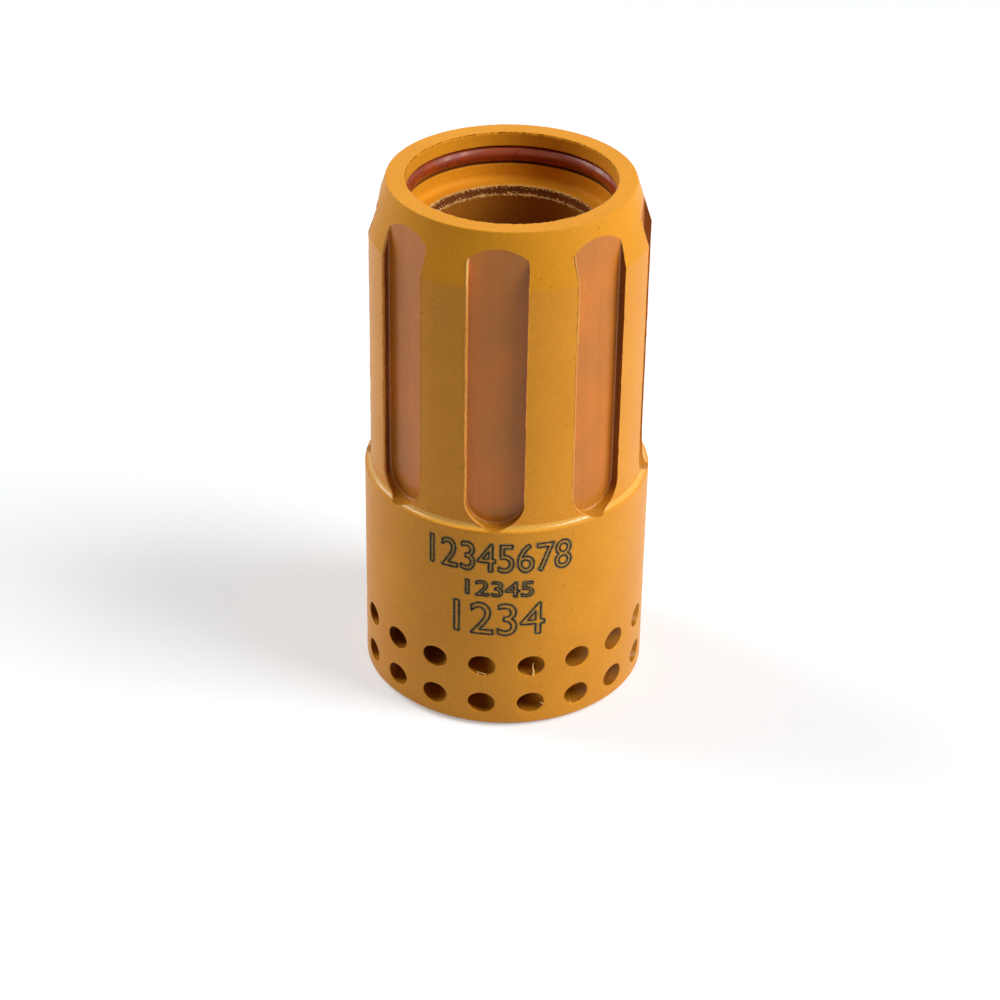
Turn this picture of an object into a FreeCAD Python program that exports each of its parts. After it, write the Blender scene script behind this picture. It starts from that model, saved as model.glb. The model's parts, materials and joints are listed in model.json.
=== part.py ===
"""Swirl ring of a plasma cutting torch, with the seal ring in its mouth. Millimetres, +Z up the bore.

The ring is turned from bar, so its section is one revolved outline. The cooling flutes are milled
down its upper barrel and run out through the tapered nose. The gas ports are two rows of slanted
holes through the skirt, which set the gas spinning round the nozzle.
"""
import FreeCAD, Part

import math
import os
import re
from typing import NamedTuple

import Sketcher

PARTS_FOLDER = "parts"
SHEET_NAME = "Sizes"

# Driving sizes in mm, angles in degrees. Each radial size is a step outward from the surface
# before it, so every wall keeps its thickness when another size changes.
SIZES = {
    # heights along the bore
    "total_length": 45.5,
    "skirt_height": 19.4,
    "taper_length": 4.4,
    # radial steps, from the bore outward
    "bore_diameter": 14.0,
    "lip_step": 0.26,
    "seat_step": 1.5,
    "rim_wall": 1.6,
    "taper_run": 1.4,
    "shoulder_step": 0.5,
    "skirt_wall": 2.75,
    # mouth at the top, with the seal groove
    "rim_edge_break": 0.1,
    "seat_depth": 4.25,
    "seat_corner_radius": 0.5,
    "lip_depth": 0.7,
    "groove_below_rim": 1.26,
    "groove_width": 1.56,
    "groove_depth": 1.3,
    # skirt
    "foot_chamfer": 0.45,
    "nozzle_chamfer": 0.3,
    "nozzle_ledge_above_ports": 1.5,
    "shoulder_radius": 0.4,
    "shoulder_edge_break": 0.05,
    # cooling flutes
    "flute_count": 8,
    "flute_width": 4.9,
    "flute_depth": 1.0,
    "flute_corner_radius": 0.2,
    "flute_cut_below_shoulder": 0.05,
    # gas ports
    "ports_per_row": 18,
    "port_diameter": 1.95,
    "port_slant": 32.0,
    "port_index_angle": 8.45,
    "lower_row_height": 2.35,
    "row_spacing": 3.75,
    # seal ring
    "seal_side_clearance": 0.03,
    "seal_floor_clearance": 0.02,
}

# Radii that follow from the driving sizes
BORE = "bore_diameter / 2"
LIP = f"{BORE} + lip_step"
SEAT = f"{BORE} + seat_step"
GROOVE = f"{SEAT} + groove_depth"
RIM = f"{SEAT} + rim_wall"
BARREL = f"{RIM} + taper_run"
SKIRT = f"{BARREL} + shoulder_step"
NOZZLE = f"{SKIRT} - skirt_wall"
FLUTE_FLOOR = f"{BARREL} - flute_depth"

# Heights that follow from the driving sizes
UPPER_ROW = "lower_row_height + row_spacing"
NOZZLE_LEDGE = f"{UPPER_ROW} + port_diameter / 2 + nozzle_ledge_above_ports"
TAPER_START = "total_length - taper_length"
SEAT_LEDGE = "total_length - seat_depth"
GROOVE_TOP = "total_length - groove_below_rim"
GROOVE_BOTTOM = f"{GROOVE_TOP} - groove_width"
FLUTE_END_CENTRE = "skirt_height - flute_cut_below_shoulder + flute_width / 2"

FULL_TURN = 360.0
HALF_TURN = 180.0
# The flute cutter's outline stands this far outside the barrel, in barrel radii
CUTTER_REACH = 1.5


class Corner(NamedTuple):
    """Corner of a sketched outline: its place, and the size that rounds it, if one does."""

    across: str
    along: str
    radius: str = ""


def make_sheet(doc):
    """Put the driving sizes into a spreadsheet, one named cell each."""
    sheet = doc.addObject("Spreadsheet::Sheet", SHEET_NAME)
    for row, (name, size) in enumerate(SIZES.items(), start=1):
        sheet.set(f"A{row}", name)
        sheet.set(f"B{row}", str(size))
        sheet.setAlias(f"B{row}", name)
    doc.recompute()
    return sheet


def in_sheet(word):
    """Put the sheet's name before a driving size, and leave any other word as it is."""
    return f"{SHEET_NAME}.{word}" if word in SIZES else word


def bound(expression):
    """Write an expression on the driving sizes as other objects of the document refer to it."""
    return re.sub(r"[a-z_]+", lambda word: in_sheet(word[0]), expression)


def value(sheet, expression):
    """Work out an expression on the driving sizes."""
    return float(sheet.evalExpression(expression))


def origin_item(body, role):
    """Find one of a body's own origin planes or axes."""
    return next(item for item in body.Origin.OriginFeatures if item.Role == role)


def sketch_on(body, name, plane):
    """Add a sketch on one of the body's origin planes."""
    sketch = body.newObject("Sketcher::SketchObject", name)
    sketch.AttachmentSupport = [(origin_item(body, plane), "")]
    sketch.MapMode = "FlatFace"
    return sketch


def dimension(sketch, kind, geometry, point, expression, size):
    """Dimension a point of the sketch from its origin, and bind the dimension to the sizes."""
    number = sketch.addConstraint(Sketcher.Constraint(kind, -1, 1, geometry, point, size))
    sketch.setExpression(f"Constraints[{number}]", bound(expression))


def draw_circle(sketch, sheet, across, along, diameter):
    """Draw a dimensioned circle."""
    centre = FreeCAD.Vector(value(sheet, across), value(sheet, along), 0)
    size = value(sheet, diameter)
    circle = sketch.addGeometry(Part.Circle(centre, FreeCAD.Vector(0, 0, 1), size / 2), False)
    dimension(sketch, "DistanceX", circle, 3, across, centre.x)
    dimension(sketch, "DistanceY", circle, 3, along, centre.y)
    number = sketch.addConstraint(Sketcher.Constraint("Diameter", circle, size))
    sketch.setExpression(f"Constraints[{number}]", bound(diameter))


def draw_outline(sketch, sheet, corners):
    """Draw a closed outline of straight edges, and dimension it.

    An upright or level edge is dimensioned as an edge, and other corners by their own place. A
    rounded corner gets an arc tangent to the two edges that meet there.
    """
    count = len(corners)
    places = [FreeCAD.Vector(value(sheet, corner.across), value(sheet, corner.along), 0)
              for corner in corners]
    headings = [(places[(i + 1) % count] - places[i]).normalize() for i in range(count)]
    radii = [value(sheet, corner.radius) if corner.radius else 0.0 for corner in corners]

    for i in range(count):
        following = (i + 1) % count
        start = places[i] + headings[i] * radii[i]
        end = places[following] - headings[i] * radii[following]
        sketch.addGeometry(Part.LineSegment(start, end), False)

    for i, corner in enumerate(corners):
        before = i - 1 if i else count - 1
        if not corner.radius:
            sketch.addConstraint(Sketcher.Constraint("Coincident", before, 2, i, 1))
            continue
        round_corner(sketch, corner, places[i], (before, headings[before]), (i, headings[i]), radii[i])

    upright = [corners[i].across == corners[(i + 1) % count].across for i in range(count)]
    level = [corners[i].along == corners[(i + 1) % count].along for i in range(count)]
    for i, corner in enumerate(corners):
        if upright[i]:
            sketch.addConstraint(Sketcher.Constraint("Vertical", i))
        if level[i]:
            sketch.addConstraint(Sketcher.Constraint("Horizontal", i))
        if upright[i] or not upright[i - 1]:
            dimension(sketch, "DistanceX", i, 1, corner.across, places[i].x)
        if level[i] or not level[i - 1]:
            dimension(sketch, "DistanceY", i, 1, corner.along, places[i].y)


def round_corner(sketch, corner, place, arriving, leaving, radius):
    """Join two edges of an outline, each given by its number and heading, by a tangent arc."""
    edge_in, heading_in = arriving
    edge_out, heading_out = leaving
    centre = place + (heading_out - heading_in) * radius
    turns_left = heading_in.cross(heading_out).z > 0
    spokes = [place - heading_in * radius - centre, place + heading_out * radius - centre]
    if not turns_left:
        spokes.reverse()
    first, last = (math.atan2(spoke.y, spoke.x) for spoke in spokes)
    circle = Part.Circle(centre, FreeCAD.Vector(0, 0, 1), radius)
    arc = sketch.addGeometry(Part.ArcOfCircle(circle, first, last), False)
    start_point, end_point = (1, 2) if turns_left else (2, 1)
    sketch.addConstraint(Sketcher.Constraint("Tangent", edge_in, 2, arc, start_point))
    sketch.addConstraint(Sketcher.Constraint("Tangent", arc, end_point, edge_out, 1))
    number = sketch.addConstraint(Sketcher.Constraint("Radius", arc, radius))
    sketch.setExpression(f"Constraints[{number}]", bound(corner.radius))


def turn_section(body, sheet):
    """Revolve the ring's section: skirt, shoulder, barrel and tapered nose round the stepped bore."""
    section = sketch_on(body, "Section", "XZ_Plane")
    draw_outline(section, sheet, [
        Corner(f"{NOZZLE} + nozzle_chamfer", "0"),
        Corner(f"{SKIRT} - foot_chamfer", "0"),
        Corner(SKIRT, "foot_chamfer"),
        Corner(SKIRT, "skirt_height - shoulder_edge_break"),
        Corner(f"{SKIRT} - shoulder_edge_break", "skirt_height"),
        Corner(BARREL, "skirt_height", "shoulder_radius"),
        Corner(BARREL, TAPER_START),
        Corner(RIM, "total_length"),
        Corner(f"{SEAT} + rim_edge_break", "total_length"),
        Corner(SEAT, "total_length - rim_edge_break"),
        Corner(SEAT, GROOVE_TOP),
        Corner(GROOVE, GROOVE_TOP),
        Corner(GROOVE, GROOVE_BOTTOM),
        Corner(SEAT, GROOVE_BOTTOM),
        Corner(SEAT, SEAT_LEDGE, "seat_corner_radius"),
        Corner(LIP, SEAT_LEDGE),
        Corner(BORE, f"{SEAT_LEDGE} - lip_depth"),
        Corner(BORE, NOZZLE_LEDGE),
        Corner(NOZZLE, NOZZLE_LEDGE),
        Corner(NOZZLE, "nozzle_chamfer"),
    ])
    turned = body.newObject("PartDesign::Revolution", "TurnedRing")
    turned.Profile = section
    turned.ReferenceAxis = (section, ["V_Axis"])
    turned.Angle = FULL_TURN
    return turned


def mill_flutes(body, sheet):
    """Cut the cooling flutes: a straight run that leaves through the nose, and a round lower end."""
    outside = f"- ({BARREL}) * {CUTTER_REACH}"
    floor = f"- ({FLUTE_FLOOR})"

    run_section = sketch_on(body, "FluteSection", "XY_Plane")
    run_section.setExpression(".AttachmentOffset.Base.z", bound(FLUTE_END_CENTRE))
    draw_outline(run_section, sheet, [
        Corner("- flute_width / 2", outside),
        Corner("flute_width / 2", outside),
        Corner("flute_width / 2", floor, "flute_corner_radius"),
        Corner("- flute_width / 2", floor, "flute_corner_radius"),
    ])
    run = body.newObject("PartDesign::Pocket", "FluteRun")
    run.Profile = run_section
    run.Reversed = True
    run.setExpression("Length", bound("total_length"))

    end_section = sketch_on(body, "FluteEndSection", "YZ_Plane")
    end_section.setExpression(".AttachmentOffset.Base.y", bound(FLUTE_END_CENTRE))
    draw_outline(end_section, sheet, [
        Corner(outside, "0"),
        Corner(outside, "- flute_width / 2"),
        Corner(floor, "- flute_width / 2", "flute_corner_radius"),
        Corner(floor, "0"),
    ])
    end = body.newObject("PartDesign::Groove", "FluteEnd")
    end.Profile = end_section
    end.ReferenceAxis = (end_section, ["H_Axis"])
    end.Angle = HALF_TURN
    end.Midplane = True
    return around(body, "Flutes", [run, end], "flute_count")


def drill_ports(body, sheet):
    """Drill both rows of gas ports. Each port's axis passes the bore's axis at one side."""
    rows = sketch_on(body, "PortRows", "XZ_Plane")
    rows.AttachmentOffset = FreeCAD.Placement(
        FreeCAD.Vector(), FreeCAD.Rotation(FreeCAD.Vector(0, 1, 0), value(sheet, "port_index_angle")))
    rows.setExpression(".AttachmentOffset.Rotation.Angle", bound("port_index_angle"))
    beside_axis = f"- ({SKIRT}) * sin(port_slant)"
    for height in ("lower_row_height", UPPER_ROW):
        draw_circle(rows, sheet, beside_axis, height, "port_diameter")
    ports = body.newObject("PartDesign::Pocket", "PortPair")
    ports.Profile = rows
    ports.Reversed = True
    ports.setExpression("Length", bound(SKIRT))
    return around(body, "Ports", [ports], "ports_per_row")


def around(body, name, features, count):
    """Repeat features evenly round the bore, and make the pattern the body's last step."""
    pattern = body.newObject("PartDesign::PolarPattern", name)
    pattern.Originals = features
    pattern.Axis = (origin_item(body, "Z_Axis"), [""])
    pattern.Angle = FULL_TURN
    pattern.setExpression("Occurrences", bound(count))
    body.Tip = pattern
    return pattern


def make_ring(doc, sheet):
    """Build the ring: turned, then milled and drilled."""
    body = doc.addObject("PartDesign::Body", "Ring")
    body.Label = "swirl_ring_body"
    doc.recompute()
    for step in (turn_section, mill_flutes, drill_ports):
        before = body.Shape.Volume if body.Shape.Solids else 0.0
        feature = step(body, sheet)
        doc.recompute()
        print(f"{feature.Name}: volume {before:.2f} to {body.Shape.Volume:.2f} mm3")
    return body


def make_seal(doc):
    """Lay the round-section seal ring in its groove, a little proud of the seat's wall."""
    seal = doc.addObject("Part::Torus", "Seal")
    seal.Label = "seal_ring"
    cord_radius = "groove_width / 2 - seal_side_clearance"
    seal.setExpression("Radius2", bound(cord_radius))
    seal.setExpression("Radius1", bound(f"{GROOVE} - seal_floor_clearance - ({cord_radius})"))
    seal.setExpression(".Placement.Base.z", bound(f"{GROOVE_TOP} - groove_width / 2"))
    return seal


def check(doc, nodes):
    """Stop if a step of the document failed, or a piece isn't a sound solid."""
    for item in doc.Objects:
        if "Invalid" in item.State or "Error" in item.State:
            raise RuntimeError(f"{item.Name} failed: {item.State}")
    for node in nodes:
        if node.Shape.isNull() or not node.Shape.isValid() or len(node.Shape.Solids) != 1:
            raise RuntimeError(f"{node.Label} is not one sound solid")


def main():
    """Build the document and write each piece to its own file."""
    doc = FreeCAD.newDocument("SwirlRing")
    sheet = make_sheet(doc)
    nodes = [make_ring(doc, sheet), make_seal(doc)]
    doc.recompute()
    check(doc, nodes)
    os.makedirs(PARTS_FOLDER, exist_ok=True)
    for node in nodes:
        node.Shape.exportStep(f"{PARTS_FOLDER}/{node.Label}.step")
        print(f"{node.Label}: {node.Shape.Volume:.2f} mm3")


main()
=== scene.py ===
"""Plasma torch swirl ring, dressed for its picture.

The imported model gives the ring's box, its bores and the seal's place. This script rebuilds the ring
and its seal at a finer grain, with broken edges, burrs, tool marks and a finish for each surface,
and sets them on a pale floor in soft light. Sizes in the classes are millimetres, as on a drawing,
and meshes are in metres. An azimuth is in degrees, 0 towards -Y and 90 towards +X.
"""
import json
import logging
import math
from dataclasses import dataclass, field
from enum import IntEnum

import bmesh
import bpy
import numpy as np
from mathutils import Matrix, Vector


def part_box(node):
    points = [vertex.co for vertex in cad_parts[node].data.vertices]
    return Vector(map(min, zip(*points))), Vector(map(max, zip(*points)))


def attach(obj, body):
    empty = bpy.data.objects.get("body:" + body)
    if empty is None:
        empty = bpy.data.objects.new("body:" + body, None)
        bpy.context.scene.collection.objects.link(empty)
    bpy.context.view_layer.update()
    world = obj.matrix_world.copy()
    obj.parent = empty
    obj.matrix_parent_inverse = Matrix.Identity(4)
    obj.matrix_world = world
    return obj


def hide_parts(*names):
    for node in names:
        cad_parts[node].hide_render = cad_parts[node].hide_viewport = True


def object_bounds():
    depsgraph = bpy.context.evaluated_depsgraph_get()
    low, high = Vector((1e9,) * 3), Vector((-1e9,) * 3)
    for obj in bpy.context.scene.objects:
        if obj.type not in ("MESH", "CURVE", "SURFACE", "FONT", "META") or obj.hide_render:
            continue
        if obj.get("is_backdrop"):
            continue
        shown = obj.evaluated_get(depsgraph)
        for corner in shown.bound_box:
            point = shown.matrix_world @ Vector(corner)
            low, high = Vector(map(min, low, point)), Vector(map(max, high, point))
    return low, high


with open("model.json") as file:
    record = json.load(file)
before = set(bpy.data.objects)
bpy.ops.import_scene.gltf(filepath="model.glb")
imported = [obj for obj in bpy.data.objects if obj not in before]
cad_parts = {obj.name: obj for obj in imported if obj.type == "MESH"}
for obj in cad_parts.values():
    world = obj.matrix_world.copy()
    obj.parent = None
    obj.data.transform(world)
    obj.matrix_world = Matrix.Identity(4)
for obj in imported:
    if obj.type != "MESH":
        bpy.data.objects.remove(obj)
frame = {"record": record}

LOG = logging.getLogger("swirl_ring")
BODY = "root"
MM = 0.001
METRES_TO_MM = 1000.0
FULL_TURN = 2.0 * math.pi
FULL_TURN_DEGREES = 360.0
QUARTER_TURN_DEGREES = 90.0
UP = np.array([0.0, 0.0, 1.0])
LEVEL = np.array([1.0, 1.0, 0.0])
WHITE = (1.0, 1.0, 1.0, 1.0)
# Points nearer than this are one point
TINY = 1e-8
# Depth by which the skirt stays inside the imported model, so that burrs and marks on it don't reach out
ROOM_FOR_BURRS = 0.014
# Most turn in degrees between two faces that are shaded as one surface, on the body and on thin pieces
BODY_CREASE = 14.0
THIN_CREASE = 60.0

Triple = tuple[float, float, float]
Colour = Triple
Span = tuple[float, float]
Socket = bpy.types.NodeSocket


class Surface(IntEnum):
    """Kinds of surface on the ring. The number is the material's place in each mesh."""

    TURNED = 0
    NOSE = 1
    # Shoulder fillet: burnished gloss, with a brighter, yellower colour that is a painted highlight
    BURNISHED_HIGHLIGHT = 2
    # Seal groove and inner bores: their dark colour is painted shade of the deep inside
    BORED_PAINTED_SHADE = 3
    LIP = 4
    MILLED = 5
    # Flute walls and upper corners: a darker copy of the milled plastic as painted shade, turning lighter
    # near the shoulder as painted light on the up-facing end walls
    FLANK_PAINTED_SHADE_AND_LIGHT = 6
    DRILLED = 7
    BURR = 8
    # Swarf, crumbs and torn edges: pale as real swarf, and paler still as a painted glint
    SWARF_AND_GLINT = 9
    SEAT = 10


def direction(azimuth: float, elevation: float = 0.0) -> np.ndarray:
    """Give the unit vector that points to an azimuth and elevation, both in degrees."""
    turn, rise = math.radians(azimuth), math.radians(elevation)
    return np.array([math.sin(turn) * math.cos(rise), -math.cos(turn) * math.cos(rise), math.sin(rise)])


def unit(rows: np.ndarray) -> np.ndarray:
    """Scale every row to length 1."""
    return rows / np.linalg.norm(rows, axis=1)[:, None]


def tangents(loop: np.ndarray) -> np.ndarray:
    """Give the unit tangent at every point of a closed loop."""
    return unit(np.roll(loop, -1, axis=0) - np.roll(loop, 1, axis=0))


@dataclass(frozen=True)
class Unevenness:
    """Random row of values from 0 to 1 that varies at two scales and closes on itself.

    Attributes:
        lumps: number of slow swells along the row.
        seed: start of the random draws.
        sharpness: power that makes high values rare when it is over 1.
        slow_share: share of the slow swells, beside the jumps from value to value.
    """

    lumps: int
    seed: int
    sharpness: float = 1.0
    slow_share: float = 0.6

    def draw(self, count: int, number: int = 0) -> np.ndarray:
        """Draw a row.

        Args:
            count: number of values.
            number: number of the row, where several rows differ.

        Returns:
            The values.
        """
        rng = np.random.default_rng(self.seed + number)
        swells = rng.random(self.lumps)
        slow = np.interp(np.arange(count) * self.lumps / count, np.arange(self.lumps + 1),
                         np.append(swells, swells[0]))
        return (self.slow_share * slow + (1.0 - self.slow_share) * rng.random(count)) ** self.sharpness


class MeshDraft:
    """Vertices and faces of a piece while it is put together, in mm."""

    def __init__(self) -> None:
        """Start with nothing drawn."""
        self.points: list[np.ndarray] = []
        self.faces: list[list[int]] = []
        self.surfaces: list[int] = []
        self.count = 0

    def add_grid(self, rows: np.ndarray, surfaces: list[int], around: bool, along: bool) -> np.ndarray:
        """Add a grid of quads.

        Args:
            rows: points, as rows by columns by 3.
            surfaces: surface of each strip between two columns.
            around: whether the last row joins the first.
            along: whether the last column joins the first.

        Returns:
            The point numbers, as rows by columns.
        """
        row_count, column_count = rows.shape[:2]
        numbers = np.arange(row_count * column_count).reshape(row_count, column_count) + self.count
        self.points.append(rows.reshape(-1, 3))
        self.count += row_count * column_count
        for row in range(row_count if around else row_count - 1):
            here, there = numbers[row], numbers[(row + 1) % row_count]
            for column in range(column_count if along else column_count - 1):
                after = (column + 1) % column_count
                self.add_face([here[column], there[column], there[after], here[after]], surfaces[column])
        return numbers

    def add_face(self, corners: list[int], surface: int) -> None:
        """Add one face by its point numbers."""
        self.faces.append([int(corner) for corner in corners])
        self.surfaces.append(int(surface))

    def add_bead(self, path: np.ndarray, radii: np.ndarray, surface: int, closed: bool,
                 sides: int = 6) -> None:
        """Add a thin round bead along a path, its sides turned to the bore's axis.

        Args:
            path: points of the path.
            radii: radius of the bead at each point.
            surface: surface of the bead.
            closed: whether the path ends where it starts.
            sides: number of sides of the bead.
        """
        ahead = tangents(path) if closed else unit(np.gradient(path, axis=0))
        outward = path * LEVEL
        outward = unit(outward - ahead * np.sum(outward * ahead, axis=1)[:, None])
        sideways = np.cross(ahead, outward)
        angles = np.arange(sides) * FULL_TURN / sides
        spokes = (outward[:, None, :] * np.cos(angles)[None, :, None]
                  + sideways[:, None, :] * np.sin(angles)[None, :, None])
        rows = path[:, None, :] + spokes * np.asarray(radii)[:, None, None]
        numbers = self.add_grid(rows, [surface] * sides, around=closed, along=True)
        if not closed:
            self.add_face(list(numbers[0]), surface)
            self.add_face(list(numbers[-1][::-1]), surface)

    def finish(self, name: str, materials: list[bpy.types.Material]) -> bpy.types.Object:
        """Turn the draft into an object with closed, outward-facing meshes.

        Args:
            name: name of the object.
            materials: materials, in the order of the surfaces.

        Returns:
            The object, linked to the scene.
        """
        mesh = bpy.data.meshes.new(name)
        mesh.from_pydata(np.concatenate(self.points) * MM, [], self.faces)
        mesh.polygons.foreach_set("material_index", self.surfaces)
        for material in materials:
            mesh.materials.append(material)
        draft = bmesh.new()
        draft.from_mesh(mesh)
        bmesh.ops.remove_doubles(draft, verts=draft.verts, dist=TINY)
        bmesh.ops.recalc_face_normals(draft, faces=draft.faces)
        draft.to_mesh(mesh)
        draft.free()
        piece = bpy.data.objects.new(name, mesh)
        bpy.context.scene.collection.objects.link(piece)
        return piece


def settle(piece: bpy.types.Object) -> None:
    """Apply an object's modifiers to its mesh.

    Args:
        piece: the object.
    """
    graph = bpy.context.evaluated_depsgraph_get()
    settled = bpy.data.meshes.new_from_object(
        piece.evaluated_get(graph), preserve_all_data_layers=True, depsgraph=graph)
    old = piece.data
    piece.modifiers.clear()
    piece.data = settled
    settled.name = piece.name
    bpy.data.meshes.remove(old)


def carve(piece: bpy.types.Object, cutter: bpy.types.Object) -> None:
    """Cut one object out of another for good. The cut faces keep the cutter's materials.

    Args:
        piece: the object that is cut.
        cutter: the object that cuts, which is removed.
    """
    cut = piece.modifiers.new("cut", "BOOLEAN")
    cut.operation = "DIFFERENCE"
    cut.solver = "MANIFOLD"
    cut.material_mode = "TRANSFER"
    cut.object = cutter
    settle(piece)
    blank = cutter.data
    bpy.data.objects.remove(cutter)
    bpy.data.meshes.remove(blank)


def shade(piece: bpy.types.Object, crease: float) -> None:
    """Shade a piece smooth, apart from its creases.

    Args:
        piece: the piece.
        crease: most turn in degrees between two faces that are shaded as one surface.
    """
    piece.data.shade_smooth()
    piece.data.set_sharp_from_angle(angle=math.radians(crease))
    weights = piece.modifiers.new("even_normals", "WEIGHTED_NORMAL")
    weights.keep_sharp = True
    settle(piece)


def report(piece: bpy.types.Object) -> None:
    """Say what a finished piece holds."""
    LOG.info("%s: %d points, %d faces", piece.name, len(piece.data.vertices), len(piece.data.polygons))


class Graph:
    """Node tree of a material or of the world, with short calls that add and wire its nodes."""

    def __init__(self, owner: bpy.types.Material | bpy.types.World) -> None:
        """Start with an empty tree."""
        owner.use_nodes = True
        self.owner = owner
        self.tree = owner.node_tree
        self.tree.nodes.clear()

    @classmethod
    def of_material(cls, name: str) -> "Graph":
        """Start an empty material."""
        return cls(bpy.data.materials.new(name))

    def add(self, kind: str, inputs: dict[str | int, object], **settings: object) -> bpy.types.Node:
        """Add a node.

        Args:
            kind: Blender's name of the node type, without its ShaderNode prefix.
            inputs: number, colour or other node's output for each input socket.
            settings: properties of the node.

        Returns:
            The node.
        """
        node = self.tree.nodes.new(f"ShaderNode{kind}")
        for name, setting in settings.items():
            setattr(node, name, setting)
        for socket, value in inputs.items():
            if isinstance(value, bpy.types.NodeSocket):
                self.tree.links.new(value, node.inputs[socket])
            else:
                node.inputs[socket].default_value = value
        return node

    def place_in_mm(self, stretch: Triple = (1.0, 1.0, 1.0)) -> Socket:
        """Give the place on the ring in mm.

        Args:
            stretch: factor along each axis.

        Returns:
            The place.
        """
        place = self.add("TexCoord", {}).outputs["Object"]
        scale = tuple(METRES_TO_MM * factor for factor in stretch)
        return self.add("Mapping", {"Vector": place, "Scale": scale}).outputs["Vector"]

    def cells(self, place: Socket, per_mm: float) -> bpy.types.Node:
        """Scatter cells over a surface, so many to a mm."""
        return self.add("TexVoronoi", {"Vector": place, "Scale": per_mm})

    def ramp(self, value: Socket, ends: Span, to: Span = (0.0, 1.0)) -> Socket:
        """Map a value between two ends smoothly to another pair, and hold it there outside them."""
        inputs = dict(zip(("Value", "From Min", "From Max", "To Min", "To Max"), (value, *ends, *to)))
        return self.add("MapRange", inputs, interpolation_type="SMOOTHSTEP").outputs["Result"]

    def maths(self, operation: str, first: object, second: object) -> Socket:
        """Combine two values."""
        return self.add("Math", {0: first, 1: second}, operation=operation).outputs[0]

    def blend(self, share: Socket, first: object, second: object) -> Socket:
        """Blend two colours by the share of the second."""
        pair = [(*colour, 1.0) if isinstance(colour, tuple) else colour for colour in (first, second)]
        return self.add("Mix", {0: share, 6: pair[0], 7: pair[1]}, data_type="RGBA").outputs[2]

    def bump(self, height: Socket, depth: float, under: Socket | None = None) -> Socket:
        """Lay a relief over the surface.

        Args:
            height: how high each place is, from 0 to 1.
            depth: depth of the relief in mm.
            under: normal of another relief under it.

        Returns:
            The normal.
        """
        inputs = {"Height": height, "Distance": depth * MM}
        if under is not None:
            inputs["Normal"] = under
        return self.add("Bump", inputs).outputs["Normal"]

    def close(self, shader: Socket) -> bpy.types.Material | bpy.types.World:
        """Send a material's shader to the output, and give the material."""
        self.add("OutputMaterial", {"Surface": shader})
        return self.owner


@dataclass(frozen=True)
class Pattern:
    """Noise over a surface.

    Attributes:
        per_mm: lumps to a mm.
        detail: levels of finer lumps in it.
        ends: values between which it fades in.
    """

    per_mm: float
    detail: float
    ends: Span = (0.0, 1.0)

    def value(self, graph: Graph, place: Socket) -> Socket:
        """Give the noise itself."""
        inputs = {"Vector": place, "Scale": self.per_mm, "Detail": self.detail}
        return graph.add("TexNoise", inputs).outputs["Fac"]

    def shown(self, graph: Graph, place: Socket, to: Span = (0.0, 1.0)) -> Socket:
        """Give the noise as it fades in from one value to another."""
        return graph.ramp(self.value(graph, place), self.ends, to)


@dataclass(frozen=True)
class SpeckLayer:
    """Dark specks of random size in the plastic.

    Attributes:
        per_mm: cells to a mm, each with at most one speck.
        size: largest speck, in speck sizes of the finish.
        strength: how strong the middle of a speck is.
        least: smallest speck, as a share of the largest.
        fade: width of a speck's soft edge, as a share of the largest speck's radius.
    """

    per_mm: float
    size: float
    strength: float
    least: float = 0.2
    fade: float = 0.6


PATCHES = Pattern(per_mm=0.16, detail=2.0, ends=(0.3, 0.7))
MOTTLE = Pattern(per_mm=6.5, detail=4.0, ends=(0.3, 0.7))
TOOL_MARKS = Pattern(per_mm=1.0, detail=4.0, ends=(0.4, 0.75))
GRAIN = Pattern(per_mm=7.0, detail=6.0, ends=(0.3, 0.7))
SMEAR = Pattern(per_mm=0.9, detail=3.0, ends=(0.38, 0.62))
RIPPLES = Pattern(per_mm=2.2, detail=4.0)
BURN = Pattern(per_mm=6.0, detail=4.0, ends=(0.45, 0.72))
SPECKS = (SpeckLayer(per_mm=1.2, size=1.0, strength=0.65), SpeckLayer(per_mm=2.3, size=0.6, strength=0.5))
SPECK_COLOUR = (0.16, 0.045, 0.008)
# Tone of the mottle, as a share of the colour that a surface drifts to
MOTTLE_TONE = 0.62
# Heights in mm between which a flute turns to its low colour, which on the flanks is painted light on the
# up-facing end walls
SHOULDER_ZONE = (21.2, 20.2)
HAZE_ROUGHNESS = 0.35


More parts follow.
